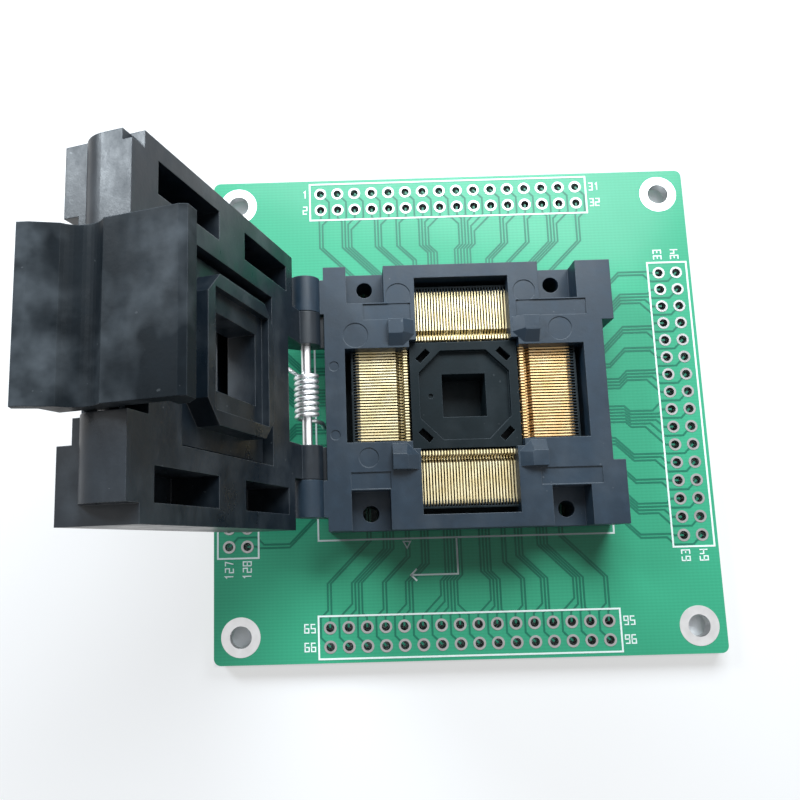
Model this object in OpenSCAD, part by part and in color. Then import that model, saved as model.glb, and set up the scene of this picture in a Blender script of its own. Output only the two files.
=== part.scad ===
// Clamshell test socket for a 128-lead quad flat pack, soldered to its breakout board.
// Millimetres. Origin: centre of the board's underside, +Z up, +X towards the latch side.
// The lid is drawn open, against its stop.

/* [Board] */
// Side of the square board
board_size = 70; // [66:0.5:80]
// Board thickness
board_t = 1.6; // [1:0.1:2.4]
// Radius of the board's corners
board_corner_r = 1; // [0.5:0.1:2]
// Distance from the board's edge to a mounting hole's centre
mount_edge = 3.7; // [3.3:0.1:5]
// Diameter of a mounting hole
mount_d = 3; // [2:0.1:3.4]
// Diameter of the plated ring round a mounting hole
mount_pad_d = 5.4; // [4.4:0.1:6]
// Holes along one header row
header_pins = 16; // [4:1:16]
// Hole pitch of the headers
header_pitch = 2.54; // [2:0.01:2.54]
// Distance from the board's edge to the middle of a header
header_edge = 3.4; // [3:0.1:5]
// Finished diameter of a header hole
header_hole_d = 1.15; // [1.12:0.01:1.3]
// Diameter of a header pad
header_pad_d = 1.75; // [1.6:0.05:2]
// Thickness of the plating in a hole
plating_t = 0.04; // [0.03:0.005:0.06]
// Thickness of the copper pads
pad_t = 0.05; // [0.03:0.01:0.1]
// Socket centre, to the right of the board's centre
socket_x = 0; // [-1:0.1:1]
// Socket centre, behind the board's centre
socket_y = 0.4; // [-1:0.1:1]

/* [Contacts] */
// Contacts along one side
row_pins = 32; // [8:1:32]
// Pitch of the contacts
pin_pitch = 0.4; // [0.4:0.01:0.42]
// Sheet thickness of a contact
contact_t = 0.2; // [0.16:0.01:0.22]
// Height of the contact tips above the board
tip_z = 6.9; // [6.6:0.05:6.95]
// Height of the spring arms' upper edge above the board
arm_z = 6.3; // [5.8:0.05:6.4]
// Depth of a spring arm
arm_h = 0.6; // [0.4:0.05:0.8]
// Distance from the socket's centre to a contact's inner end
tip_in = 7.45; // [7.4:0.01:7.6]
// Length of the flat that carries a lead
tip_len = 0.75; // [0.6:0.05:1.3]
// Distance from the centre to a contact's outer edge
contact_out = 14.9; // [14.6:0.05:15.1]
// Length of a tail below the board
tail_out = 1; // [0.6:0.05:1.4]
// Distance from the centre to the nearest tail row
tail_in = 8.6; // [8.4:0.05:8.8]
// Distance from the outermost tail to the contact's outer edge
tail_edge = 0.35; // [0.2:0.05:0.5]

/* [Housing] */
// Thickness of the walls beyond the windows, hinge side and latch side
wall_x = 2.7; // [2.3:0.1:3]
// Thickness of the walls beyond the windows, front and back
wall_y = 1.85; // [1.6:0.05:2.2]
// Height of the housing above the board
base_h = 8.3; // [8.1:0.05:8.5]
// How far the two latch-side wings stand out
wing_reach = 1.6; // [1:0.1:2.2]
// Distance between the two wings
wing_gap = 19; // [17:0.1:20]
// Room in a window beyond the contacts
window_room = 1.1; // [0.7:0.05:1.5]
// Height of the latch ledge's underside above the board
ledge_z = 4.5; // [4:0.1:5]
// Depth of the relief under the latch ledge
ledge_depth = 1.5; // [1.3:0.05:1.8]
// Distance between the screw holes, hinge side to latch side
screw_x = 26.1; // [25.6:0.1:26.6]
// Distance from the housing's front or back edge to a screw's centre
screw_edge = 2.25; // [2:0.05:2.5]
// Diameter of a screw hole
screw_d = 2.2; // [1.6:0.1:2.4]
// Width of a screw pocket
pocket_w = 5.1; // [4.6:0.1:5.4]
// Depth of a screw pocket, from the housing's front or back edge
pocket_l = 5.2; // [4.6:0.1:5.4]
// Depth of a screw pocket below the housing's top
pocket_h = 3.5; // [2:0.1:4.5]
// Height of the corner guides above the housing
guide_h = 1; // [0.6:0.05:1.1]
// Length and width of a corner guide
guide_w = 3.5; // [3:0.1:3.6]
// Thickness of the tail plate under the housing
plate_t = 1.2; // [1:0.05:1.4]

/* [Moulding marks] */
// Depth of the four bare label panels in the housing's top
panel_d = 0.2; // [0.1:0.05:0.4]
// Width of a label panel
panel_w = 2.2; // [1.6:0.1:2.3]
// Depth of the ejector marks
mark_d = 0.1; // [0.05:0.05:0.3]

/* [Platform] */
// Side of the square platform under the package
platform = 14.5; // [14.2:0.05:14.6]
// Height of the platform above the board
platform_z = 6.9; // [6.6:0.05:7]
// Width of the eight-sided recess in the platform
recess_w = 12.2; // [11.6:0.1:12.6]
// Depth of the recess
recess_d = 0.8; // [0.4:0.1:1.4]
// Side of the square hole through the platform
platform_hole = 5.9; // [4:0.1:7]

/* [Hinge] */
// Distance from the housing's back wall to the hinge axis
hinge_gap = 2.5; // [2.3:0.05:2.7]
// Height of the hinge axis above the housing's top
hinge_up = 0.1; // [0.05:0.01:0.2]
// Radius of the hinge knuckles
knuckle_r = 2; // [1.7:0.05:2.1]
// Diameter of the hinge pin
hinge_pin_d = 1.3; // [1:0.05:1.4]
// Diameter of the lid spring's wire
spring_wire_d = 0.6; // [0.4:0.05:0.7]
// Turns of the lid spring
spring_turns = 9; // [5:1:9]
// Half the gap between the lid's two hinge arms
arm_in = 6.75; // [6.4:0.05:7]
// Width of a knuckle on the lid
knuckle_w = 4.4; // [4:0.1:4.8]
// Width of a knuckle on the housing
ear_w = 4.8; // [4.2:0.1:5.2]
// Angle between the closed and the open lid
lid_open = 108.5; // [90:0.5:112]

/* [Lid] */
// How far the lid stays inside the housing's width, on each side
lid_inset = 0.15; // [0.05:0.05:0.4]
// Thickness of the lid's middle
lid_t = 7; // [6.6:0.05:7.4]
// Thickness of the lid along its two sides
rail_t = 8.6; // [7.5:0.1:9]
// Width of a side rail
rail_w = 7.1; // [5.7:0.1:7.3]
// Distance from the hinge axis to the start of the lid's plate
lid_heel = 4.4; // [4.2:0.05:4.6]
// How far the lid's free end passes the housing, when closed
tip_over = 0.3; // [0.1:0.05:0.5]
// Height of the lid's nose, its raised free end
nose_h = 6.2; // [5.8:0.05:6.5]
// Radius of the nose's outer edge
nose_r = 3; // [1:0.1:3.4]
// Distance from the lid's front edge to the nose
nose_front_in = 1.8; // [0.6:0.1:3]
// Distance from the lid's back edge to the nose
nose_back_in = 0.6; // [0.3:0.1:3]
// Side of the square recess for the pusher
lid_recess = 20.6; // [20.2:0.1:21]
// Side of the window through the lid
lid_window = 11; // [8:0.1:12]
// Length of a side pocket in the lid
side_pocket_l = 11.8; // [10:0.1:12]
// Width of a side pocket
side_pocket_w = 3.25; // [2.6:0.05:3.5]
// Depth of a side pocket
side_pocket_h = 5.6; // [4:0.1:6]
// Distance from the lid's edge to a side pocket
side_pocket_edge = 1.9; // [1.4:0.05:2.4]

/* [Pusher] */
// Side of the square pressing rim
rim_w = 15.6; // [15.2:0.05:15.8]
// How far the rim stands out of the lid when the pusher is down
rim_out = 1.35; // [1.1:0.05:1.35]
// Travel of the pusher into the lid
pusher_travel = 0.8; // [0.4:0.05:0.9]
// Width of the chamfer across the rim's corners
rim_cut = 2.4; // [2.2:0.1:3]
// Window through the pusher, hinge side to latch side
pusher_window_x = 9.2; // [8.2:0.1:9.6]
// Window through the pusher, front to back
pusher_window_y = 8.2; // [7.6:0.1:9]
// Thickness of the pusher's plate
pusher_plate_t = 1.8; // [1.6:0.05:1.9]

/* [Latch] */
// Width of the latch
latch_w = 16; // [15:0.1:16.4]
// Thickness of the latch arm
latch_t = 1.65; // [1.4:0.05:1.8]
// Length of the latch below the lid's inner face
latch_drop = 6.5; // [6.2:0.05:6.8]
// Reach of the hook under the ledge
hook_reach = 1.45; // [1.2:0.05:1.6]
// Diameter of the latch pin
latch_pin_d = 1.2; // [1:0.05:1.4]

/* [Fits] */
// Clearance round a pin in the part that turns on it
pin_run = 0.05; // [0.02:0.01:0.08]
// Clearance round a pin in the part that holds it
pin_hold = 0.02; // [0.01:0.005:0.03]
// Clearance between fixed mouldings
seat_gap = 0.1; // [0.05:0.01:0.15]

/* [Hidden] */
$fn = 48;

mount_pitch = board_size - 2 * mount_edge;
header_offset = board_size / 2 - header_edge;
window_reach = contact_out + window_room;
base_x = 2 * (window_reach + wall_x);
base_y = 2 * (window_reach + wall_y);
screw_y = base_y - 2 * screw_edge;
hinge_back = base_x / 2 + hinge_gap;
hinge_x = -hinge_back;
hinge_z = base_h + hinge_up;
nest_u = hinge_back;              // distance from the hinge axis to the package's centre
row_span = (row_pins - 1) * pin_pitch;
window_w = row_span + contact_t + 2 * 0.05;
header_span = (header_pins - 1) * header_pitch;
comb_in = contact_out - 0.8;      // inner edge of a comb
slot_side = 0.03;                 // clearance beside a contact
tail_w = 0.5;
tail_step = (contact_out - tail_edge - tail_w / 2 - tail_in) / 3;    // between the four tail rows
tail_slack = 0.06;
plate_top = plate_t + 0.2;
knuckle_gap = 0.1;
panels = [[-10.2, 1, 6.4], [12, 1, 9.4], [-13, -1, 5.2], [13.2, -1, 8]];    // middle, side, length
ejector_marks = [
    [-8.6, 13.6, 1.7], [8.5, 13.8, 1.5], [-14.5, 8.2, 1.7], [13, 8.4, 1.6], [-13.2, -8.4, 1.3],
    [-17.5, 4, 0.65], [-17.5, -5.3, 0.65]
];    // place and radius
ear_in = arm_in + knuckle_w + knuckle_gap;
lid_w = base_y - 2 * lid_inset;
lid_tip = hinge_back + base_x / 2 + tip_over;    // free end, from the hinge axis
rail_in = lid_w / 2 - rail_w;
nose_front = lid_w / 2 - nose_front_in;
nose_back = lid_w / 2 - nose_back_in;
plate_end = lid_tip - 2;          // end of the lid's plate, where the nose begins
pusher_rest = 1.2;                // underside of the pusher's plate, from the lid's inner face
post_at = 8.4;                    // pusher posts, from the package's centre
post_r = 0.9;
head_r = 1.4;
head_up = 0.85;                   // underside of a post's head, above the recess
head_t = 0.5;
lid_skin = head_up + head_t + pusher_travel + 0.05;    // lid above the pusher's recess
rim_wall = 1.5;
rim_relief = 0.9;                 // depth of the relief inside the rim
latch_u = lid_tip - 1.3;          // latch pin, from the hinge axis
latch_w_pos = 3.2;                // latch pin, above the lid's inner face
bay_u = latch_u - 1.9;            // back wall of the latch bay
spring_w = 5.3;                   // latch springs, above the lid's inner face
spring_v = 5;                     // latch springs, from the middle
stop_gap = 0.05;
spring_room = 0.45;               // between the hinge pin and the lid spring
plastic = [0.13, 0.14, 0.16];
gold = [0.86, 0.72, 0.38];
steel = [0.78, 0.79, 0.8];
tin = [0.75, 0.76, 0.76];

// ---- frames ----------------------------------------------------------------

// Socket frame: centre of the socket on the board's upper face
module on_board() {
    translate([socket_x, socket_y, board_t]) children();
}

// Lid frame: hinge axis at the origin, +X to the free end, +Z outwards, at any lid angle
module on_lid(angle = lid_open) {
    on_board() translate([hinge_x, 0, hinge_z]) rotate([0, -angle, 0]) children();
}

// Extrudes a side profile drawn in X and Z, over the width w
module across(w) {
    rotate([90, 0, 0]) linear_extrude(w, center = true) children();
}

// Copies on both sides of the middle plane
module both_sides() {
    children();
    mirror([0, 1, 0]) children();
}

// Copies in the four corners
module four_corners() {
    for (a = [0, 1], b = [0, 1]) mirror([a, 0, 0]) mirror([0, b, 0]) children();
}

// ---- board -----------------------------------------------------------------

module rounded_square(side, r) {
    square([side, side - 2 * r], center = true);
    square([side - 2 * r, side], center = true);
    for (x = [-1, 1], y = [-1, 1]) translate([x, y] * (side / 2 - r)) circle(r);
}

module mount_places() {
    for (x = [-1, 1], y = [-1, 1]) translate([x, y] * mount_pitch / 2) children();
}

// Both rows of one header, along X
module header_places() {
    for (i = [0:header_pins - 1], row = [-1, 1])
        translate([i * header_pitch - header_span / 2, row * header_pitch / 2]) children();
}

// angle 0 is the header behind the socket
module header_side(angle) {
    rotate([0, 0, angle]) translate([0, header_offset]) children();
}

// Contact i sits in tail row i modulo 4
function tail_r(i) = tail_in + tail_step * (i % 4);
function pin_at(i) = i * pin_pitch - row_span / 2;

module tail_places(angle) {
    rotate([0, 0, angle]) for (i = [0:row_pins - 1]) translate([pin_at(i), tail_r(i)]) children();
}

module circuit_board() {
    color([0.16, 0.5, 0.36]) linear_extrude(board_t) difference() {
        rounded_square(board_size, board_corner_r);
        mount_places() circle(d = mount_d + 2 * plating_t);
        for (a = [0:90:270]) header_side(a) header_places() circle(d = header_hole_d + 2 * plating_t);
        translate([socket_x, socket_y]) {
            for (a = [0:90:270]) tail_places(a) circle(d = 0.7);
            for (x = [-1, 1], y = [-1, 1]) translate([x * screw_x, y * screw_y] / 2) circle(d = screw_d);
        }
    }
}

// A plated hole: the barrel with a pad on each face
module eyelet(hole_d, pad_d) {
    rotate_extrude() {
        translate([hole_d / 2, -pad_t]) square([plating_t, board_t + 2 * pad_t]);
        for (z = [-pad_t, board_t]) translate([hole_d / 2, z]) square([(pad_d - hole_d) / 2, pad_t]);
    }
}

module mounting_rings() {
    color(tin) mount_places() eyelet(mount_d, mount_pad_d);
}

module header_eyelets(angle) {
    color(tin) header_side(angle) header_places() eyelet(header_hole_d, header_pad_d);
}

// ---- contacts --------------------------------------------------------------

// Side profile of a contact: X is the distance from the socket's centre
module contact_profile(tail) {
    leg_w = 0.6;
    bend_r = 0.5;
    foot_z = plate_top + 0.05;
    foot_h = 0.5;
    neck = tip_in + tip_len;
    // tail through the plate and the board
    translate([tail - tail_w / 2, -board_t - tail_out]) square([tail_w, foot_z + board_t + tail_out + 0.1]);
    // foot on the tail plate
    translate([tail - tail_w / 2, foot_z]) square([contact_out - tail + tail_w / 2, foot_h]);
    // standing leg in the comb
    translate([contact_out - leg_w, foot_z]) square([leg_w, arm_z - bend_r - foot_z]);
    translate([contact_out - bend_r, arm_z - bend_r]) circle(bend_r, $fn = 32);
    translate([contact_out - bend_r - 0.1, arm_z - bend_r - 0.1]) square([0.2, bend_r + 0.1]);
    // spring arm
    translate([neck + 0.9, arm_z - arm_h]) square([contact_out - bend_r - neck - 0.9, arm_h]);
    // gooseneck, and the tip that carries the lead
    polygon([
        [neck + 0.9, arm_z], [neck + 0.9, arm_z - arm_h], [neck + 0.3, arm_z - arm_h - 0.9],
        [neck - 0.5, arm_z - arm_h - 0.5], [tip_in + 0.25, tip_z - 0.55], [tip_in, tip_z - 0.25],
        [tip_in + 0.15, tip_z], [neck - 0.1, tip_z], [neck + 0.05, tip_z - 0.15],
        [neck + 0.05, arm_z - 0.75], [neck + 0.45, arm_z - 0.65]
    ]);
}

module contact_row(angle) {
    color(gold) on_board() rotate([0, 0, angle])
        for (i = [0:row_pins - 1]) translate([pin_at(i), 0, 0]) rotate([0, 0, 90])
            across(contact_t) contact_profile(tail_r(i));
}

// Solder round every tail, on the board's underside
module solder_joints() {
    color(tin) translate([socket_x, socket_y, 0]) for (a = [0:90:270]) tail_places(a) difference() {
        translate([0, 0, -0.5]) cylinder(h = 0.5, r1 = 0.34, r2 = 0.5, $fn = 24);
        cube([contact_t + 2 * slot_side, tail_w + 2 * slot_side, 3], center = true);
    }
}

// Four slotted bars that hold the contacts' outer ends
module contact_combs() {
    bar_l = window_w - 0.02;
    slot = contact_t + 2 * slot_side;
    slot_end = contact_out + 0.05;
    color(plastic) on_board() for (a = [0:90:270]) rotate([0, 0, a])
        translate([0, 0, arm_z - 1.9]) linear_extrude(2.3) difference() {
            translate([-bar_l / 2, comb_in]) square([bar_l, slot_end + 0.25 - comb_in]);
            for (i = [0:row_pins - 1]) translate([pin_at(i) - slot / 2, comb_in - 1]) square([slot, slot_end - comb_in + 1]);
        }
}

// ---- housing ---------------------------------------------------------------

// The windows and the platform's well, as one cross-shaped opening
module well_outline() {
    square(platform + 2 * seat_gap, center = true);
    for (a = [0, 90]) rotate(a) square([window_w, 2 * window_reach], center = true);
}

module plate_outline(grow) {
    for (a = [0, 90]) rotate(a) square([row_span + 5.6 + grow, 2 * window_reach + 0.8 + grow], center = true);
}

// Shallow marks in the housing's top: bare label panels and the ejector pins' rounds
module moulding_marks() {
    row = base_y / 2 - pocket_l - panel_w / 2 - 0.15;
    translate([0, 0, base_h]) {
        for (p = panels) translate([p[0], p[1] * row, 0]) cube([p[2], panel_w, 2 * panel_d], center = true);
        for (m = ejector_marks) translate([m[0], m[1], -mark_d]) cylinder(r = m[2], h = 2 * mark_d);
    }
}

// A corner guide: sloped towards both windows and towards the package's corner
module corner_guide() {
    low = window_w / 2 + 0.25;
    high = low + guide_w;
    lead = 1.5;
    lean = [[low, 0], [high, 0], [high, guide_h], [low + lead, guide_h]];
    mid = (low + high) / 2;
    corner = platform + 2 * seat_gap;
    translate([0, 0, base_h]) intersection() {
        translate([0, mid, 0]) across(guide_w) polygon(lean);
        rotate([0, 0, 90]) mirror([0, 1, 0]) translate([0, mid, 0]) across(guide_w) polygon(lean);
        rotate([0, 0, 45]) across(4 * guide_w) polygon([
            [corner / sqrt(2), -1], [2 * high, -1], [2 * high, guide_h + 1], [corner / sqrt(2) + 2.4, guide_h + 1],
            [corner / sqrt(2), 0]
        ]);
    }
}

// The knuckle that the hinge pin is held in, with its web down to the housing
module housing_ear() {
    back = -base_x / 2;
    web = back - hinge_x + knuckle_r / sqrt(2);
    translate([hinge_x, hinge_z]) circle(knuckle_r);
    polygon([
        [hinge_x, hinge_z - hinge_up], [back + 1, base_h],
        [back + 1, hinge_z - knuckle_r / sqrt(2) - web - 1],
        [hinge_x - knuckle_r / sqrt(2), hinge_z - knuckle_r / sqrt(2)]
    ]);
}

module socket_housing() {
    color(plastic) on_board() difference() {
        union() {
            translate([-base_x / 2, -base_y / 2, 0]) cube([base_x, base_y, base_h]);
            both_sides() translate([0, wing_gap / 2, 0]) cube([base_x / 2 + wing_reach, (base_y - wing_gap) / 2, base_h]);
            both_sides() translate([0, ear_in + ear_w / 2, 0]) across(ear_w) housing_ear();
            four_corners() corner_guide();
        }
        translate([0, 0, -1]) linear_extrude(base_h + 2) well_outline();
        translate([0, 0, -1]) linear_extrude(plate_top + 1) plate_outline(2 * seat_gap);
        moulding_marks();
        // relief under the latch ledge
        translate([base_x / 2 - ledge_depth, -wing_gap / 2, -1]) cube([ledge_depth + 1, wing_gap, ledge_z + 1]);
        four_corners() {
            translate([screw_x - pocket_w, base_y - 2 * pocket_l, 2 * (base_h - pocket_h)] / 2)
                cube([pocket_w, pocket_l + 1, pocket_h + 1]);
            translate([screw_x / 2, screw_y / 2, -1]) cylinder(d = screw_d, h = base_h);
        }
        translate([hinge_x, 0, hinge_z]) rotate([90, 0, 0])
            cylinder(d = hinge_pin_d + 2 * pin_hold, h = 2 * base_y, center = true);
    }
}

// Guides the tails below the housing and carries contacts and platform
module tail_plate() {
    color(plastic) on_board() translate([0, 0, plate_top - plate_t]) linear_extrude(plate_t) difference() {
        plate_outline(0);
        for (a = [0:90:270]) tail_places(a)
            square([contact_t + 2 * tail_slack, tail_w + 2 * tail_slack], center = true);
    }
}

module package_platform() {
    cut = 3;
    r = recess_w / 2;
    color(plastic) on_board() difference() {
        translate([-platform / 2, -platform / 2, plate_top]) cube([platform, platform, platform_z - plate_top]);
        translate([0, 0, platform_z - recess_d]) linear_extrude(recess_d + 1) polygon([
            [r, r - cut], [r - cut, r], [cut - r, r], [-r, r - cut],
            [-r, cut - r], [cut - r, -r], [r - cut, -r], [r, cut - r]
        ]);
        translate([0, 0, platform_z / 2]) cube([platform_hole, platform_hole, 2 * platform_z], center = true);
        for (a = [45:90:315]) rotate([0, 0, a]) translate([7.7, 0, platform_z]) cube([0.9, 2, 4], center = true);
        // round mark that shows where contact 1 is
        translate([-4.5, 0, platform_z - recess_d - 0.3]) cylinder(r = 0.35, h = 1);
    }
}

// ---- lid -------------------------------------------------------------------

// Side profile of the lid's plate, t thick
module plate_profile(t) {
    polygon([[lid_heel, 0], [plate_end, 0], [plate_end, t], [lid_heel + 1.6, t], [lid_heel, t - 1.6]]);
}

// Side profile of the nose, rounded on the outside
module nose_profile() {
    start = plate_end - 4;
    translate([start, 0]) square([lid_tip - start, nose_h - nose_r]);
    translate([start, 0]) square([lid_tip - start - nose_r, nose_h]);
    translate([lid_tip - nose_r, nose_h - nose_r]) circle(nose_r);
}

// Side profile of a hinge arm
module arm_profile() {
    circle(knuckle_r);
    top = lid_t - 1.6;
    k = knuckle_r / sqrt(2) - 0.05;
    polygon([[0, 0], [lid_heel + 0.6, 0], [lid_heel + 0.6, top], [top - 2 * k, top], [-k, k]]);
}

module lid_cover() {
    stop_l = -base_x / 2 - hinge_x - stop_gap;
    color(plastic) difference() {
        union() {
            on_lid() {
                across(lid_w) plate_profile(lid_t);
                both_sides() translate([0, (rail_in + lid_w / 2) / 2, 0]) across(lid_w / 2 - rail_in) plate_profile(rail_t);
                translate([0, (nose_back - nose_front) / 2, 0]) across(nose_back + nose_front) nose_profile();
            }
            on_lid() both_sides() translate([0, arm_in + knuckle_w / 2, 0]) across(knuckle_w) arm_profile();
            // stop: meets the housing's back when the lid is fully open
            on_board() both_sides() translate([hinge_x, arm_in, hinge_z - 1.8]) cube([stop_l, knuckle_w, 0.9]);
        }
        on_lid() {
            // pusher recess, and the window above it
            translate([nest_u - lid_recess / 2, -lid_recess / 2, -1]) cube([lid_recess, lid_recess, lid_t - lid_skin + 1]);
            translate([nest_u, 0, lid_t]) cube([lid_window, lid_window, 2 * lid_t], center = true);
            // side pockets
            for (s = [-1, 1]) both_sides()
                translate([nest_u + s * (3 + side_pocket_l / 2), lid_w / 2 - side_pocket_edge - side_pocket_w / 2, 0])
                    cube([side_pocket_l, side_pocket_w, 2 * side_pocket_h], center = true);
            // relief at the nose's back corner
            translate([plate_end, nose_back - 1.1, -1]) cube([5, 5, 2]);
            // notch for the lid spring's leg
            translate([lid_heel - 1, -arm_in, -1]) cube([2.6, 2 * arm_in, 6]);
            // latch bay
            translate([bay_u, -latch_w / 2 - 0.2, -1]) cube([9, latch_w + 0.4, rail_t + 2]);
            translate([latch_u, 0, latch_w_pos]) rotate([90, 0, 0])
                cylinder(d = latch_pin_d + 2 * pin_hold, h = lid_w + 2, center = true);
            both_sides() translate([bay_u - 0.6, spring_v, spring_w]) rotate([0, 90, 0]) cylinder(r = 1.1, h = 2);
            // holes and counterbores for the pusher's posts
            translate([nest_u, 0, 0]) four_corners() translate([post_at, post_at, lid_t - lid_skin]) {
                translate([0, 0, -1]) cylinder(r = post_r + 0.1, h = 5);
                translate([0, 0, head_up - 0.05]) cylinder(r = head_r + 0.3, h = 5);
            }
            // hinge bore
            rotate([90, 0, 0]) cylinder(d = hinge_pin_d + 2 * pin_run, h = 2 * lid_w, center = true);
        }
    }
}

module pusher() {
    plate = lid_recess - 2 * 0.4;
    low = pusher_rest;
    ring = rim_w / 2;
    cut = rim_cut;
    color(plastic) on_lid() translate([nest_u, 0, 0]) difference() {
        union() {
            translate([-plate / 2, -plate / 2, low]) cube([plate, plate, pusher_plate_t]);
            translate([0, 0, -rim_out]) linear_extrude(low + rim_out + 0.1) polygon([
                [ring, ring - cut], [ring - cut, ring], [cut - ring, ring], [-ring, ring - cut],
                [-ring, cut - ring], [cut - ring, -ring], [ring - cut, -ring], [ring, cut - ring]
            ]);
            four_corners() translate([post_at, post_at, low]) {
                cylinder(r = post_r, h = lid_t - lid_skin + head_up + head_t - low);
                translate([0, 0, lid_t - lid_skin + head_up - low]) cylinder(r = head_r, h = head_t);
            }
        }
        cube([pusher_window_x, pusher_window_y, 4 * lid_t], center = true);
        // relief inside the rim for the package's body
        translate([0, 0, -rim_out - 1]) linear_extrude(1 + rim_relief) square(rim_w - 2 * rim_wall, center = true);
    }
}

// Round wire along a path: rings of `sides` points, closed at both ends
function unit(v) = v / norm(v);
function along(p, i) = let (n = len(p)) unit(p[min(i + 1, n - 1)] - p[max(i - 1, 0)]);
function wire_ring(c, t, r, sides, ref) =
    let (a = unit(cross(t, ref)), b = cross(t, a))
    [for (k = [0:sides - 1]) c + r * (cos(360 * k / sides) * a + sin(360 * k / sides) * b)];

module wire(path, r, sides = 8, ref = [0, 1, 0]) {
    n = len(path);
    points = [for (i = [0:n - 1]) each wire_ring(path[i], along(path, i), r, sides, ref)];
    skin = [for (i = [0:n - 2], k = [0:sides - 1])
        [i * sides + k, i * sides + (k + 1) % sides, (i + 1) * sides + (k + 1) % sides, (i + 1) * sides + k]];
    polyhedron(concat(
        points), concat([[for (k = [sides - 1:-1:0]) k]], skin, [[for (k = [0:sides - 1]) (n - 1) * sides + k]]),
        convexity = 10);
}

// Helix about Z, with closed end turns left open for the eye
function helix(r, h, turns, steps) =
    [for (i = [0:turns * steps]) [r * cos(360 * i / steps), r * sin(360 * i / steps), h * i / (turns * steps)]];

module coil_spring(r, wire_r, length, turns) {
    translate([0, 0, wire_r]) wire(helix(r, length - 2 * wire_r, turns, 16), wire_r, 6, [0, 0, 1]);
}

module pusher_springs() {
    top = lid_t - lid_skin;
    bottom = pusher_rest + pusher_plate_t;
    color(steel) on_lid() for (u = [-post_at, post_at], v = [-post_at, post_at])
        translate([nest_u + u, v, bottom + 0.02]) coil_spring(1.15, 0.14, top - bottom - 0.04, 3);
}

// ---- hinge hardware --------------------------------------------------------

module hinge_pin() {
    color(steel) on_board() translate([hinge_x, 0, hinge_z]) rotate([90, 0, 0])
        cylinder(d = hinge_pin_d, h = 2 * (ear_in + ear_w - 0.1), center = true);
}

// A point of the open lid, from the hinge axis, in the board's directions
function lid_point(u, v, w) =
    [u * cos(lid_open) - w * sin(lid_open), v, u * sin(lid_open) + w * cos(lid_open)];

// Torsion spring about the hinge pin: one leg on the lid, one on the housing
module lid_spring() {
    wire_r = spring_wire_d / 2;
    r = hinge_pin_d / 2 + wire_r + spring_room;
    half = spring_turns * (spring_wire_d + 0.07) / 2;
    steps = 16;
    first = lid_open + 90;
    last = 260 + 360 * (spring_turns - 1);
    count = floor((last - first) * steps / 360);
    coil = [for (i = [0:count]) let (a = first + (last - first) * i / count)
        [r * cos(a), half - 2 * half * i / count, r * sin(a)]];
    lid_leg = [lid_point(5.6, half + 0.7, r + 0.3), lid_point(1.6, half + 0.2, r + 0.1)];
    reach = -base_x / 2 - hinge_x - wire_r - 0.08;
    base_leg = [[0.9, -half - 0.05, -1.6], [reach - 0.2, -half - 0.3, -2.4], [reach, -half - 0.6, -4.4]];
    color(steel) on_board() translate([hinge_x, 0, hinge_z])
        wire(concat(lid_leg, coil, base_leg), wire_r, 8, [0, 1, 0]);
}

// ---- latch -----------------------------------------------------------------

// Points of an arc, from angle a to angle b
function arc(x, y, r, a, b, n = 12) = [for (i = [0:n]) let (t = a + (b - a) * i / n) [x + r * cos(t), y + r * sin(t)]];

module latch_profile() {
    inner = lid_tip + 0.15;
    outer = inner + latch_t;
    low = -latch_drop;
    lip = ledge_z - hinge_z - 0.2;
    groove_u = outer + 1.9;
    groove_r = 2.6;
    polygon(concat(
        // hook and arm, up the inner face
        [[outer - 0.3, low], [inner - 0.1, low], [inner - hook_reach, low + 1.4], [inner - hook_reach, lip],
         [inner, lip], [inner, latch_w_pos - 2.4], [latch_u, latch_w_pos - 1.65]],
        [[latch_u, latch_w_pos + 1.6], [inner - 0.35, 3.9], [inner - 0.35, 6.9]],
        // thumb tab
        [[outer + 0.3, 7.2], [outer + 1.3, 9.1], [outer + 2.1, 8.7], [outer + 1.8, 7.7]],
        // finger groove and the outer face
        arc(groove_u, latch_w_pos, groove_r, 122, 223),
        [[outer, low + 0.7]]
    ));
}

module latch() {
    color(plastic) on_lid() difference() {
        union() {
            across(latch_w) latch_profile();
            translate([latch_u, 0, latch_w_pos]) rotate([90, 0, 0]) cylinder(r = 1.7, h = latch_w, center = true);
        }
        translate([latch_u, 0, latch_w_pos]) rotate([90, 0, 0])
            cylinder(d = latch_pin_d + 2 * pin_run, h = 2 * latch_w, center = true);
        both_sides() translate([bay_u, spring_v, spring_w]) rotate([0, 90, 0])
            cylinder(r = 1.1, h = lid_tip + 0.2 - bay_u);
    }
}

module latch_pin() {
    color(steel) on_lid() translate([latch_u, nose_back - 0.3, latch_w_pos]) rotate([90, 0, 0])
        cylinder(d = latch_pin_d, h = nose_front + nose_back - 0.6);
}

module latch_springs() {
    start = bay_u - 0.6 + 0.02;
    stop = lid_tip + 0.2 - 0.02;
    color(steel) on_lid() for (v = [-spring_v, spring_v]) translate([start, v, spring_w]) rotate([0, 90, 0])
        coil_spring(0.75, 0.15, stop - start, 5);
}

// ---- assembly --------------------------------------------------------------

circuit_board();
mounting_rings();
header_eyelets(0);  // header_eyelets_north
header_eyelets(180);  // header_eyelets_south
header_eyelets(270);  // header_eyelets_east
header_eyelets(90);  // header_eyelets_west
socket_housing();
tail_plate();
package_platform();
contact_combs();
contact_row(0);  // contacts_north
contact_row(180);  // contacts_south
contact_row(270);  // contacts_east
contact_row(90);  // contacts_west
solder_joints();
hinge_pin();
lid_spring();
lid_cover();
latch();
latch_pin();
latch_springs();
pusher();
pusher_springs();
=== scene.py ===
import bmesh
import bpy
import math
from mathutils import Matrix, Vector


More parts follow.
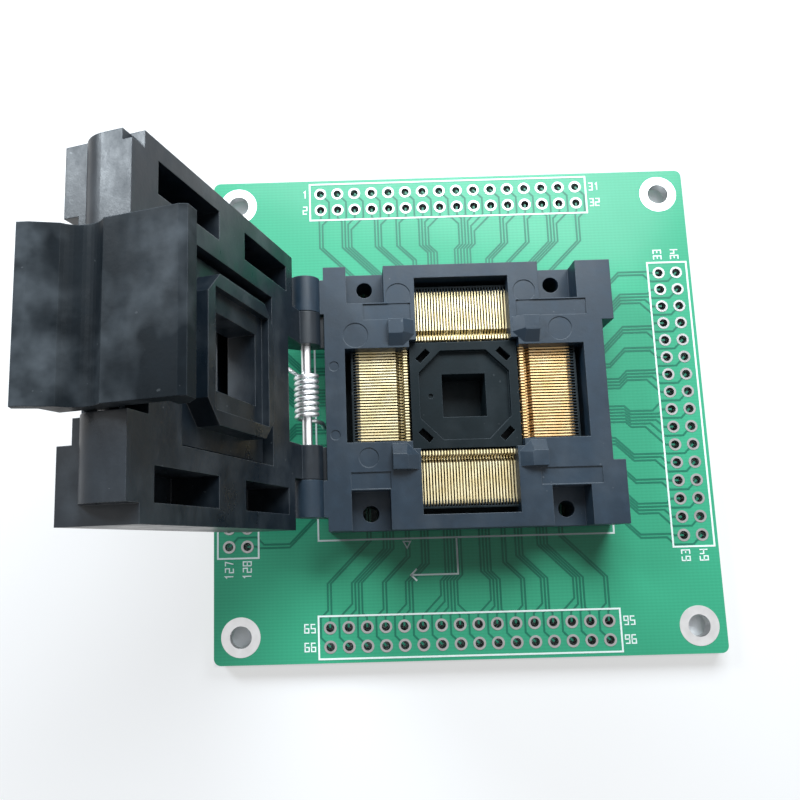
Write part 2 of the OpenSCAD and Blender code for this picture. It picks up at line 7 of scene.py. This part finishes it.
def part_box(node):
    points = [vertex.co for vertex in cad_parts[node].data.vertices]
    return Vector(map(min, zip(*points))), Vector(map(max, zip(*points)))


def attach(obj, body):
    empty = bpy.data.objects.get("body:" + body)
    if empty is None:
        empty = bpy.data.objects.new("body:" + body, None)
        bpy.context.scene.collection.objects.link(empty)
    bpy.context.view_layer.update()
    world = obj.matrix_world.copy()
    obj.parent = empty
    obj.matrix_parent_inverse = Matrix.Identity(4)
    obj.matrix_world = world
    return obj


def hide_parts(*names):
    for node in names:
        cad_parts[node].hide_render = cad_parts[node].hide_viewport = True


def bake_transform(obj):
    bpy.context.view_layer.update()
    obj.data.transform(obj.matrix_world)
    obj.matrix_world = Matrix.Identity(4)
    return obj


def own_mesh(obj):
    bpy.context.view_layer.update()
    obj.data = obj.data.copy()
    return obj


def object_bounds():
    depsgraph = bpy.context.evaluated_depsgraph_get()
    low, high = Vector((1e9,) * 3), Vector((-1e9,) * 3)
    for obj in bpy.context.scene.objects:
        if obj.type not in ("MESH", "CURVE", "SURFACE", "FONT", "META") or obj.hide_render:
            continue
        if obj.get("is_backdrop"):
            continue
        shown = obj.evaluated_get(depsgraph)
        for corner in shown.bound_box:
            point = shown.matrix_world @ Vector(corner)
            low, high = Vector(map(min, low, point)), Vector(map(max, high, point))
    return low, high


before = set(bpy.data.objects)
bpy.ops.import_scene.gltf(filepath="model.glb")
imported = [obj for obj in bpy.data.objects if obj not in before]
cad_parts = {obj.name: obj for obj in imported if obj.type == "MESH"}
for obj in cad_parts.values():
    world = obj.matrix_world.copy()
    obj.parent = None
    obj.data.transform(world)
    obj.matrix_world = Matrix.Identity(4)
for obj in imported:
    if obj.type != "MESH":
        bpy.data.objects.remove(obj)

mm = 0.001
cadLow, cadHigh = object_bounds()
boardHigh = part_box("circuit_board")[1]
boardTop = boardHigh.z
socketMiddle = sum(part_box("package_platform"), Vector()) / 2


print("camera and lamps")
cameraView = dict(
    place=(-15.53, -19.92, 111.29),         # in mm, straight above the board's lower left
    right=(0.99959, -0.02677, -0.01045),
    up=(0.02811, 0.98646, 0.16159),
    lens=35.03,
    shift=(0.0681, 0.0285),
)
right, up = Vector(cameraView["right"]).normalized(), Vector(cameraView["up"]).normalized()
back = right.cross(up).normalized()
up = back.cross(right)
camera = bpy.data.objects.new("camera", bpy.data.cameras.new("camera"))
bpy.context.scene.collection.objects.link(camera)
cameraTurn = Matrix((right, up, back)).transposed().to_4x4()
camera.matrix_world = Matrix.Translation(Vector(cameraView["place"]) * mm) @ cameraTurn
camera.data.lens = cameraView["lens"]
camera.data.shift_x, camera.data.shift_y = cameraView["shift"]
camera.data.clip_start, camera.data.clip_end = 0.005, 5
bpy.context.scene.camera = camera
bpy.context.scene.view_settings.view_transform = "Standard"

lampRig = {
    "windowLight": dict(place=(0.035, 0.158, 0.175), size=(0.18, 0.12), watts=0.99, tint=(0.89, 0.96, 1.0)),
    "sideWindow": dict(place=(-0.213, 0.152, 0.186), size=(0.07, 0.09), watts=0.66, tint=(0.84, 0.93, 1.0)),
    "roomLight": dict(place=(0.30, -0.03, 0.11), size=(0.20, 0.20), watts=0.07, tint=(0.93, 0.97, 1.0)),
}
for name, lamp in lampRig.items():
    light = bpy.data.lights.new(name, "AREA")
    light.shape = "RECTANGLE"
    light.energy, light.color = lamp["watts"], lamp["tint"]
    light.size, light.size_y = lamp["size"]
    holder = bpy.data.objects.new(name, light)
    bpy.context.scene.collection.objects.link(holder)
    holder.location = lamp["place"]
    holder.rotation_euler = (Vector((0, 0, 0.01)) - holder.location).to_track_quat("-Z", "Y").to_euler()


# a socket, so that shader sums are written as Python sums
class Wire:
    def __init__(self, paint, socket):
        self.paint = paint
        self.socket = socket

    def sum(self, operation, *terms):
        terms = terms if self in terms else (self, *terms)
        return self.paint.add("ShaderNodeMath", dict(operation=operation), dict(enumerate(terms)))

    def __add__(self, other):
        return self.sum("ADD", self, other)

    def __radd__(self, other):
        return self.sum("ADD", other, self)

    def __sub__(self, other):
        return self.sum("SUBTRACT", self, other)

    def __rsub__(self, other):
        return self.sum("SUBTRACT", other, self)

    def __mul__(self, other):
        return self.sum("MULTIPLY", self, other)

    def __rmul__(self, other):
        return self.sum("MULTIPLY", other, self)

    def __truediv__(self, other):
        return self.sum("DIVIDE", self, other)

    def __gt__(self, other):
        return self.sum("GREATER_THAN", self, other)

    def clipped(self):
        return self.paint.add("ShaderNodeClamp", {}, {0: self, 1: 0.0, 2: 1.0})


# a material and the one way to add its nodes
class Paint:
    def __init__(self, name, **fixed):
        self.material = bpy.data.materials.new(name)
        self.material.use_nodes = True
        self.tree = self.material.node_tree
        self.shader = self.tree.nodes["Principled BSDF"]
        for socket, value in fixed.items():
            self.shader.inputs[socket.replace("_", " ")].default_value = value

    @classmethod
    def over(cls, tree):
        # the same helper on a tree that has no plain shader of its own
        paint = cls.__new__(cls)
        paint.tree = tree
        return paint

    def plug(self, socket, value):
        if isinstance(value, Wire):
            self.tree.links.new(value.socket, socket)
        elif isinstance(value, (tuple, list)) and len(value) == 3 and socket.type == "RGBA":
            socket.default_value = (*value, 1)
        else:
            socket.default_value = value

    def add(self, kind, settings, values, out=0):
        node = self.tree.nodes.new(kind)
        for key, value in settings.items():
            setattr(node, key, value)
        for key, value in values.items():
            self.plug(node.inputs[key], value)
        return Wire(self, node.outputs[out])

    def spots(self, stretch=(1, 1, 1), turn=(0, 0, 0)):
        place = self.add("ShaderNodeTexCoord", {}, {}, out="Object")
        return self.add("ShaderNodeMapping", {}, {0: place, "Rotation": turn, "Scale": stretch})

    def noise(self, scale, detail=3.0, rough=0.55, place=None):
        place = place or self.spots()
        values = {"Vector": place, "Scale": scale, "Detail": detail, "Roughness": rough}
        return self.add("ShaderNodeTexNoise", {}, values)

    def blend(self, factor, first, second):
        settings = dict(data_type="RGBA", blend_type="MIX", clamp_factor=True)
        return self.add("ShaderNodeMix", settings, {0: factor, 6: first, 7: second}, out=2)

    def ray(self, kind):
        return self.add("ShaderNodeLightPath", {}, {}, out="Is %s Ray" % kind)

    def softEdges(self, radius, samples=6):
        return self.add("ShaderNodeBevel", dict(samples=samples), {"Radius": radius})

    def edgeHighlightAndWearMask(self, rounded):
        # 1 where the rounded normal leaves the face's own, which is along sharp edges
        own = self.add("ShaderNodeNewGeometry", {}, {}, out="Normal")
        settings = dict(operation="DOT_PRODUCT")
        along = self.add("ShaderNodeVectorMath", settings, {0: own, 1: rounded}, out="Value")
        return ((1 - along) * 5).clipped()

    def bump(self, height, strength, distance, normal=None):
        values = {"Height": height, "Strength": strength, "Distance": distance}
        if normal:
            values["Normal"] = normal
        return self.add("ShaderNodeBump", {}, values)

    def feed(self, **links):
        for socket, value in links.items():
            self.plug(self.shader.inputs[socket.replace("_", " ")], value)
        return self.material


print("materials")


def shade(tint, amount):
    return tuple(amount * part for part in tint)


mouldingScale = dict(
    patches=120, mottle=620, grain=2600, flow=210, wiped=150, smear=300, specks=1500, edgeHighlightAndWearNoise=900,
    edge=0.12 * mm, depth=0.03 * mm,
    smudgeTint=(0.105, 0.120, 0.135), dustTint=(0.30, 0.32, 0.34), edgeHighlightAndWearTint=(0.15, 0.175, 0.20),
)


def blackMoulding(name, tint, shine, rough, dust, handled, edgeHighlightAndWearAmount):
    # glass-filled black plastic: cloudy flow marks, grain, finger marks and dust, and lighter sharp edges
    # that are a painted edge highlight as well as rubbed wear
    size = mouldingScale
    paint = Paint(name, Specular_IOR_Level=shine)
    patches = paint.noise(size["patches"], 4)
    mottle = ((paint.noise(size["mottle"], 4, 0.6) - 0.46) * 2.4).clipped()
    grain = paint.noise(size["grain"], 2)
    flow = paint.noise(size["flow"], 5, 0.7, paint.spots((1, 0.35, 1), (0.3, 0.2, 0.7)))
    streak = ((flow - 0.36) * 3.4).clipped()
    wiped = paint.noise(size["wiped"], 3, 0.5, paint.spots((1, 0.7, 1), (0.5, 0.1, 0.4)))
    smear = paint.noise(size["smear"], 3, 0.5)
    smudge = ((wiped - 0.46) * 6).clipped() * ((smear - 0.30) * 2).clipped()
    specks = paint.noise(size["specks"], 1, 0.4) > 0.79
    rounded = paint.softEdges(size["edge"])
    # lighter colour along sharp edges, broken by noise: a painted edge highlight that is partly rubbed wear
    edgeHighlightAndWear = paint.edgeHighlightAndWearMask(rounded) * paint.noise(size["edgeHighlightAndWearNoise"], 3)
    colour = paint.blend(patches, shade(tint, 0.75), shade(tint, 1.3))
    colour = paint.blend(((flow - 0.5) * 1.6).clipped() * 0.5, colour, shade(tint, 2.2))
    colour = paint.blend(mottle * 0.55, colour, shade(tint, 1.7))
    colour = paint.blend(smudge * handled, colour, size["smudgeTint"])
    colour = paint.blend(specks * dust, colour, size["dustTint"])
    colour = paint.blend(edgeHighlightAndWear * edgeHighlightAndWearAmount, colour, size["edgeHighlightAndWearTint"])
    return paint.feed(
        Base_Color=colour,
        Roughness=rough + streak * 0.18 + mottle * 0.10 + smudge * 0.2 * handled - edgeHighlightAndWear * 0.1,
        Normal=paint.bump(grain + patches * 0.6, 0.3, size["depth"], rounded),
    )


maskLook = dict(
    deep=(0.028, 0.29, 0.158), light=(0.048, 0.42, 0.235), thread=(0.018, 0.21, 0.115),
    resin=(0.20, 0.30, 0.17), glass=(0.40, 0.48, 0.32), warp=720, weft=520,
)


def solderMask():
    # green lacquer over woven glass, bare at the board's sawn edge
    look = maskLook
    paint = Paint("solderMask", Specular_IOR_Level=0.26, Coat_Roughness=0.14)
    threads = []
    for way, scale in (("Y", look["warp"]), ("X", look["weft"])):
        threads.append(paint.add("ShaderNodeTexWave", dict(bands_direction=way), {
            "Vector": paint.spots(), "Scale": scale, "Distortion": 3, "Detail": 3, "Detail Scale": 60}))
    weave = threads[0] * 0.75 + threads[1] * 0.25
    cloud = paint.noise(45, 3)
    colour = paint.blend(cloud, look["deep"], look["light"])
    colour = paint.blend(weave * 0.3, colour, look["thread"])
    facing = paint.add("ShaderNodeNewGeometry", {}, {}, out="Normal")
    upright = paint.add("ShaderNodeSeparateXYZ", {}, {0: facing}, out="Z")
    sawn = 1 - ((upright * upright) * 4).clipped()
    edge = paint.blend(paint.noise(1500, 3), look["resin"], look["glass"])
    return paint.feed(
        Base_Color=paint.blend(sawn, colour, edge),
        Roughness=0.40 + cloud * 0.12 + sawn * 0.3,
        Coat_Weight=0.10 + cloud * 0.18,
        Normal=paint.bump(weave + cloud, 0.07, 0.03 * mm),
    )


def maskedCopper():
    paint = Paint("maskedCopper", Specular_IOR_Level=0.3)
    cloud = paint.noise(60, 3)
    return paint.feed(
        Base_Color=paint.blend(cloud, (0.009, 0.135, 0.080), (0.015, 0.185, 0.112)),
        Roughness=0.32 + cloud * 0.12,
        Normal=paint.bump(paint.noise(900, 2), 0.1, 0.02 * mm),
    )


def legendInk():
    paint = Paint("legendInk", Specular_IOR_Level=0.4)
    patchy = paint.noise(1400, 4, 0.65)
    return paint.feed(
        Base_Color=paint.blend(patchy, (0.74, 0.83, 0.79), (0.90, 0.95, 0.92)),
        Roughness=0.55 + patchy * 0.15,
        Normal=paint.bump(patchy, 0.2, 0.02 * mm),
    )


def goldPlate(name, deep, pale):
    paint = Paint(name, Metallic=1.0)
    film = paint.noise(500, 3)
    along = paint.noise(2500, 2, 0.5, paint.spots((1, 1, 0.2)))
    return paint.feed(
        Base_Color=paint.blend(((film - 0.3) * 2.2).clipped(), deep, pale),
        Roughness=0.38 + along * 0.18,
        Normal=paint.bump(along, 0.06, 0.01 * mm),
    )


def tinPlate(name, tone):
    paint = Paint(name, Metallic=1.0)
    film = paint.noise(800, 4)
    return paint.feed(
        Base_Color=paint.blend(film, shade((1, 1, 1), 0.8 * tone), (tone, tone, 1.01 * tone)),
        Roughness=0.24 + film * 0.28,
        Normal=paint.bump(film, 0.3, 0.03 * mm),
    )


def springSteel():
    paint = Paint("springSteel", Metallic=1.0)
    drawn = paint.noise(1500, 3, 0.6, paint.spots((1, 0.15, 1)))
    return paint.feed(
        Base_Color=paint.blend(drawn, (0.80, 0.81, 0.83), (0.95, 0.96, 0.97)),
        Roughness=0.26 + drawn * 0.2,
        Normal=paint.bump(drawn, 0.12, 0.01 * mm),
    )


mouldings = {
    "housing": dict(tint=(0.010, 0.022, 0.037), shine=0.34, rough=0.34, dust=0.15, handled=0.18, edgeHighlightAndWearAmount=0.7),
    # the parts set down in the socket get a darker copy of the housing plastic, which paints the shade of
    # its recess
    "well": dict(tint=(0.003, 0.0075, 0.010), shine=0.13, rough=0.40, dust=0.08, handled=0.10, edgeHighlightAndWearAmount=0.7),
    "lid": dict(tint=(0.004, 0.008, 0.013), shine=0.38, rough=0.26, dust=0.2, handled=0.30, edgeHighlightAndWearAmount=0.6),
    "latch": dict(tint=(0.003, 0.0055, 0.008), shine=0.09, rough=0.33, dust=0.1, handled=0.75, edgeHighlightAndWearAmount=0.6),
}
finish = {name: blackMoulding(name + "Moulding", **look) for name, look in mouldings.items()}
finish.update(
    mask=solderMask(),
    copper=maskedCopper(),
    ink=legendInk(),
    gold=goldPlate("goldPlate", (0.60, 0.49, 0.26), (0.76, 0.68, 0.46)),
    # the east contacts get a warmer copy of the same gold, painting the orange reflection they show
    redGold=goldPlate("redGoldPlate", (0.64, 0.42, 0.18), (0.80, 0.60, 0.34)),
    tin=tinPlate("ringPlating", 0.70),
    # the header eyelets get a darker copy of the ring plating, painting the shade inside their holes
    holePlating=tinPlate("holePlating", 0.38),
    solder=tinPlate("solderFillet", 0.70),
    steel=springSteel(),
)

nodeFinish = {
    "circuit_board": "mask", "mounting_rings": "tin", "solder_joints": "solder",
    "header_eyelets_north": "holePlating", "header_eyelets_south": "holePlating",
    "header_eyelets_east": "holePlating", "header_eyelets_west": "holePlating",
    "socket_housing": "housing", "tail_plate": "well", "package_platform": "well", "contact_combs": "well",
    "contacts_north": "gold", "contacts_south": "gold", "contacts_east": "redGold", "contacts_west": "gold",
    "hinge_pin": "steel", "lid_spring": "steel", "latch_pin": "steel", "latch_springs": "steel",
    "pusher_springs": "steel", "lid_cover": "lid", "pusher": "lid", "latch": "latch",
}
for node, look in nodeFinish.items():        # the finish only, the mesh stays
    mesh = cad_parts[node].data
    mesh.materials.clear()
    mesh.materials.append(finish[look])


springGive = dict(
    pusher=0.50, latch=0.85,        # share of a spring's length that would be left at the joint's limit
    coilHalf=2.6 * mm,              # half of the lid coil's length along the pin
)


def springPiece(name, node):
    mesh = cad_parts[node].data.copy()
    piece = bpy.data.objects.new(name, mesh)
    bpy.context.scene.collection.objects.link(piece)
    soft = bmesh.new()
    soft.from_mesh(mesh)
    bmesh.ops.remove_doubles(soft, verts=soft.verts, dist=1e-6)
    for face in soft.faces:
        face.smooth = True
    soft.to_mesh(mesh)
    soft.free()
    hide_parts(node)
    return piece


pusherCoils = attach(springPiece("pusherCoils", "pusher_springs"), "lid")
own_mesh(pusherCoils)
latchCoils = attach(springPiece("latchCoils", "latch_springs"), "lid")
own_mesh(latchCoils)
pinMiddle = sum(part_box("hinge_pin"), Vector()) / 2
alongPin = Vector((0, springGive["coilHalf"], 0))
lidCoil = springPiece("lidCoil", "lid_spring")
pinMiddle - alongPin
pinMiddle + alongPin
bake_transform(lidCoil)


# flat strips on the board: legend and copper
def strip(points, width, closed, sharpest=0.4):
    # left and right sides of a flat line, mitred at its bends but never past sharpest
    count, left, rightSide = len(points), [], []
    for i, point in enumerate(points):
        before = points[i - 1] if closed or i else None
        after = points[(i + 1) % count] if closed or i < count - 1 else None
        steps = [(a, b) for a, b in ((before, point), (point, after)) if a is not None and b is not None]
        ways = [(b - a).normalized() for a, b in steps]
        normals = [Vector((-w.y, w.x)) for w in ways]
        across = (normals[0] + normals[-1]).normalized()
        reach = width / 2 / max(across.dot(normals[0]), sharpest)
        left.append(point + across * reach)
        rightSide.append(point - across * reach)
    return left, rightSide


def stripPiece(name, lines, low, thick, look):
    # lines: (points, width, closed) in metres, drawn as one thin closed mesh
    vertices, faces = [], []
    for points, width, closed in lines:
        left, rightSide = strip([Vector(p) for p in points], width, closed)
        count, start = len(left), len(vertices)
        for l, r in zip(left, rightSide):
            vertices += [(*l, low), (*r, low), (*r, low + thick), (*l, low + thick)]
        for i in range(count if closed else count - 1):
            a, b = start + 4 * i, start + 4 * ((i + 1) % count)
            faces += [(a + k, a + (k + 1) % 4, b + (k + 1) % 4, b + k) for k in range(4)]
        if not closed:
            last = start + 4 * (count - 1)
            faces += [(start + 3, start + 2, start + 1, start), (last, last + 1, last + 2, last + 3)]
    mesh = bpy.data.meshes.new(name)
    mesh.from_pydata(vertices, [], faces)
    mesh.validate()
    mesh.materials.append(finish[look])
    piece = bpy.data.objects.new(name, mesh)
    bpy.context.scene.collection.objects.link(piece)
    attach(piece, "base")
    return piece


print("board legend")
legend = dict(width=0.24 * mm, thick=0.045 * mm, margin=0.7 * mm)
sides = ("north", "south", "east", "west")
headerBox = {side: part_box("header_eyelets_" + side) for side in sides}
lines = []


def frameLine(left, near, right, far):
    return [(left, near), (right, near), (right, far), (left, far)], legend["width"], True


for side in sides:
    (low, high), margin = headerBox[side], legend["margin"]
    lines.append(frameLine(low.x - margin, low.y - margin, high.x + margin, high.y + margin))
outline = dict(left=-20.4 * mm, right=20.7 * mm, half=18.9 * mm)       # round the socket
nearEdge, farEdge = socketMiddle.y - outline["half"], socketMiddle.y + outline["half"]
lines.append(frameLine(outline["left"], nearEdge, outline["right"], farEdge))
pinOneArrow = dict(stem=-1.2 * mm, drop=5.0 * mm, reach=6.5 * mm, head=0.8 * mm)
stem, head = pinOneArrow["stem"], pinOneArrow["head"]
tip = Vector((stem - pinOneArrow["reach"], nearEdge - pinOneArrow["drop"]))
lines.append(([(stem, nearEdge), (stem, tip.y), tuple(tip)], legend["width"], False))
lines.append(([tip + Vector((head, head)), tip, tip + Vector((head, -head))], legend["width"], False))
pinOneMark = dict(place=-8.1 * mm, gap=0.4 * mm, corners=((-0.5, 0), (0.5, 0), (0, -0.9)), width=0.18 * mm)
middle = Vector((pinOneMark["place"], nearEdge - pinOneMark["gap"]))
lines.append(([middle + Vector(corner) * mm for corner in pinOneMark["corners"]], pinOneMark["width"], True))
stripPiece("boardLegend", lines, boardTop, legend["thick"], "ink")


print("hole numbers")
digitStrokes = {
    "0": [[(0, 0), (1, 0), (1, 2), (0, 2), (0, 0)]],
    "1": [[(0.2, 1.6), (0.6, 2), (0.6, 0)]],
    "2": [[(0, 2), (1, 2), (1, 1), (0, 1), (0, 0), (1, 0)]],
    "3": [[(0, 2), (1, 2), (1, 0), (0, 0)], [(0.2, 1), (1, 1)]],
    "4": [[(0, 2), (0, 1), (1, 1)], [(1, 2), (1, 0)]],
    "5": [[(1, 2), (0, 2), (0, 1), (1, 1), (1, 0), (0, 0)]],
    "6": [[(1, 2), (0, 2), (0, 0), (1, 0), (1, 1), (0, 1)]],
    "7": [[(0, 2), (1, 2), (0.5, 0)]],
    "8": [[(0, 0), (1, 0), (1, 2), (0, 2), (0, 0)], [(0, 1), (1, 1)]],
    "9": [[(1, 1), (0, 1), (0, 2), (1, 2), (1, 0), (0, 0)]],
}
numberStyle = dict(unit=0.55 * mm, spacing=1.6, width=0.16 * mm, gap=0.48 * mm, inset=0.9 * mm)


def numberLines(text, place, turned):
    # strokes of a plain number, centred on its place, upright or a quarter turn round
    unit, step = numberStyle["unit"], numberStyle["spacing"]
    found = []
    for k, digit in enumerate(text):
        for stroke in digitStrokes[digit]:
            spots = [Vector((x + step * (k - (len(text) - 1) / 2) - 0.5, y - 1)) * unit for x, y in stroke]
            if turned:
                spots = [Vector((-p.y, p.x)) for p in spots]
            found.append(([p + Vector(place) for p in spots], numberStyle["width"], False))
    return found


holeNumbers, inset = [], numberStyle["inset"]
firstHole = {"north": 1, "east": 33, "south": 65, "west": 97}
toLastHole = 30        # what a row's numbers grow by from its first hole to its last
for side in sides:
    low, high = headerBox[side]
    level = side in ("north", "south")
    for row in (0, 1):
        for end in (0, 1):
            number = str(firstHole[side] + row + toLastHole * end)
            halfLength = (numberStyle["spacing"] * (len(number) - 1) + 1) / 2 * numberStyle["unit"]
            reach = legend["margin"] + numberStyle["gap"] + halfLength
            if level:
                place = (high.x + reach if end else low.x - reach, low.y + inset if row else high.y - inset)
            else:
                place = (high.x - inset if row else low.x + inset, low.y - reach if end else high.y + reach)
            holeNumbers += numberLines(number, place, not level)
stripPiece("holeNumbers", holeNumbers, boardTop, legend["thick"], "ink")


print("copper tracks")
tracks = dict(
    width=0.27 * mm, thick=0.025 * mm, pitch=2.54 * mm, spacing=0.46 * mm,
    bundles=(2, 4, 3, 2, 4, 6, 3, 2, 4, 2),        # tracks that run side by side
    bend=24.4 * mm, gather=0.70, end=14 * mm,
    lead=1.3 * mm, straight=0.5 * mm, least=0.01 * mm,      # out of the hole, before the bend, shortest run
    holes=16,
)


def trackFan(side, turn):
    # tracks leave the holes, gather into bundles, and bend 45 degrees towards the socket
    low, high = headerBox[side]
    header = (low + high) / 2
    offset = max(abs(header.x), abs(header.y))
    rowStep, firstAt = tracks["pitch"] / 2, (tracks["holes"] - 1) / 2
    fan, first = [], 0
    for size in tracks["bundles"]:
        members = range(first, first + size)
        first += size
        middle = sum(k // 2 - firstAt for k in members) / size * tracks["pitch"]
        shift = middle * (tracks["gather"] - 1)
        for j, k in enumerate(members):
            hole = (k // 2 - firstAt) * tracks["pitch"]
            lane = middle + (j - (size - 1) / 2) * tracks["spacing"]
            points = [Vector((hole, offset + (rowStep if k % 2 else -rowStep)))]
            leave = hole
            if k % 2:
                leave = hole + rowStep
                points.append(Vector((leave, offset)))
            start = offset - rowStep - tracks["lead"]
            points += [Vector((leave, start)), Vector((lane, start - abs(lane - leave)))]
            bend = min(tracks["bend"], points[-1].y - tracks["straight"])
            points += [Vector((lane, bend)), Vector((lane + shift, bend - abs(shift) - tracks["least"]))]
            points.append(Vector((lane + shift, tracks["end"])))
            spun = Matrix.Rotation(turn, 2)
            fan.append(([spun @ p for p in points], tracks["width"], False))
    return fan


fans = []
for side, turn in (("north", 0), ("west", 90), ("south", 180), ("east", 270)):
    fans += trackFan(side, math.radians(turn))
stripPiece("copperTracks", fans, boardTop, tracks["thick"], "copper")


print("table and room")
table = dict(size=3.0, lift=0.62, gloss=0.9, clearing=0.6 * mm, fadeFrom=85 * mm, fadeOver=110 * mm)
paint = Paint("tableTop", Base_Color=(0.93, 0.94, 0.96, 1), Roughness=0.7, Specular_IOR_Level=0.15)
cameraRay, glossyRay = paint.ray("Camera"), paint.ray("Glossy")
spot = paint.add("ShaderNodeTexCoord", {}, {}, out="Object")
away = [paint.add("ShaderNodeSeparateXYZ", {}, {0: spot}, out=axis).sum("ABSOLUTE") for axis in "XY"]
reach = away[0].sum("MAXIMUM", away[1])
pastBoard = reach - boardHigh.x + table["clearing"]
clear = (pastBoard / (2 * table["clearing"])).clipped()      # 0 under the board
distant = ((reach - table["fadeFrom"]) / table["fadeOver"]).clipped() * (1 - table["lift"])
white = paint.add("ShaderNodeEmission", {}, {"Color": (1, 1, 1)})
seen = (cameraRay * (distant + table["lift"]) + glossyRay * table["gloss"]).clipped() * clear
surface = paint.add("ShaderNodeMixShader", {}, {0: seen, 1: Wire(paint, paint.shader.outputs[0]), 2: white})
paint.plug(paint.tree.nodes["Material Output"].inputs["Surface"], surface)
half, level = table["size"] / 2, cadLow.z
tableMesh = bpy.data.meshes.new("tableTop")
corners = [(-half, -half, level), (half, -half, level), (half, half, level), (-half, half, level)]
tableMesh.from_pydata(corners, [], [(0, 1, 2, 3)])
tableMesh.materials.append(paint.material)
tableTop = bpy.data.objects.new("tableTop", tableMesh)
bpy.context.scene.collection.objects.link(tableTop)
tableTop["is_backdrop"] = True

# the sky lights the object, and what only looks at the room finds it white
sky = dict(tint=(0.82, 0.92, 1.0), strength=0.10)
world = bpy.data.worlds.new("room")
bpy.context.scene.world = world
world.use_nodes = True
room = Paint.over(world.node_tree)
looking = (room.ray("Camera") + room.ray("Transmission") + room.ray("Glossy")).clipped()
dim = room.add("ShaderNodeBackground", {}, {"Color": sky["tint"], "Strength": sky["strength"]})
bright = room.add("ShaderNodeBackground", {}, {"Color": (1, 1, 1), "Strength": 1.0})
background = room.add("ShaderNodeMixShader", {}, {0: looking, 1: dim, 2: bright})
room.plug(room.tree.nodes["World Output"].inputs["Surface"], background)

low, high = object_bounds()
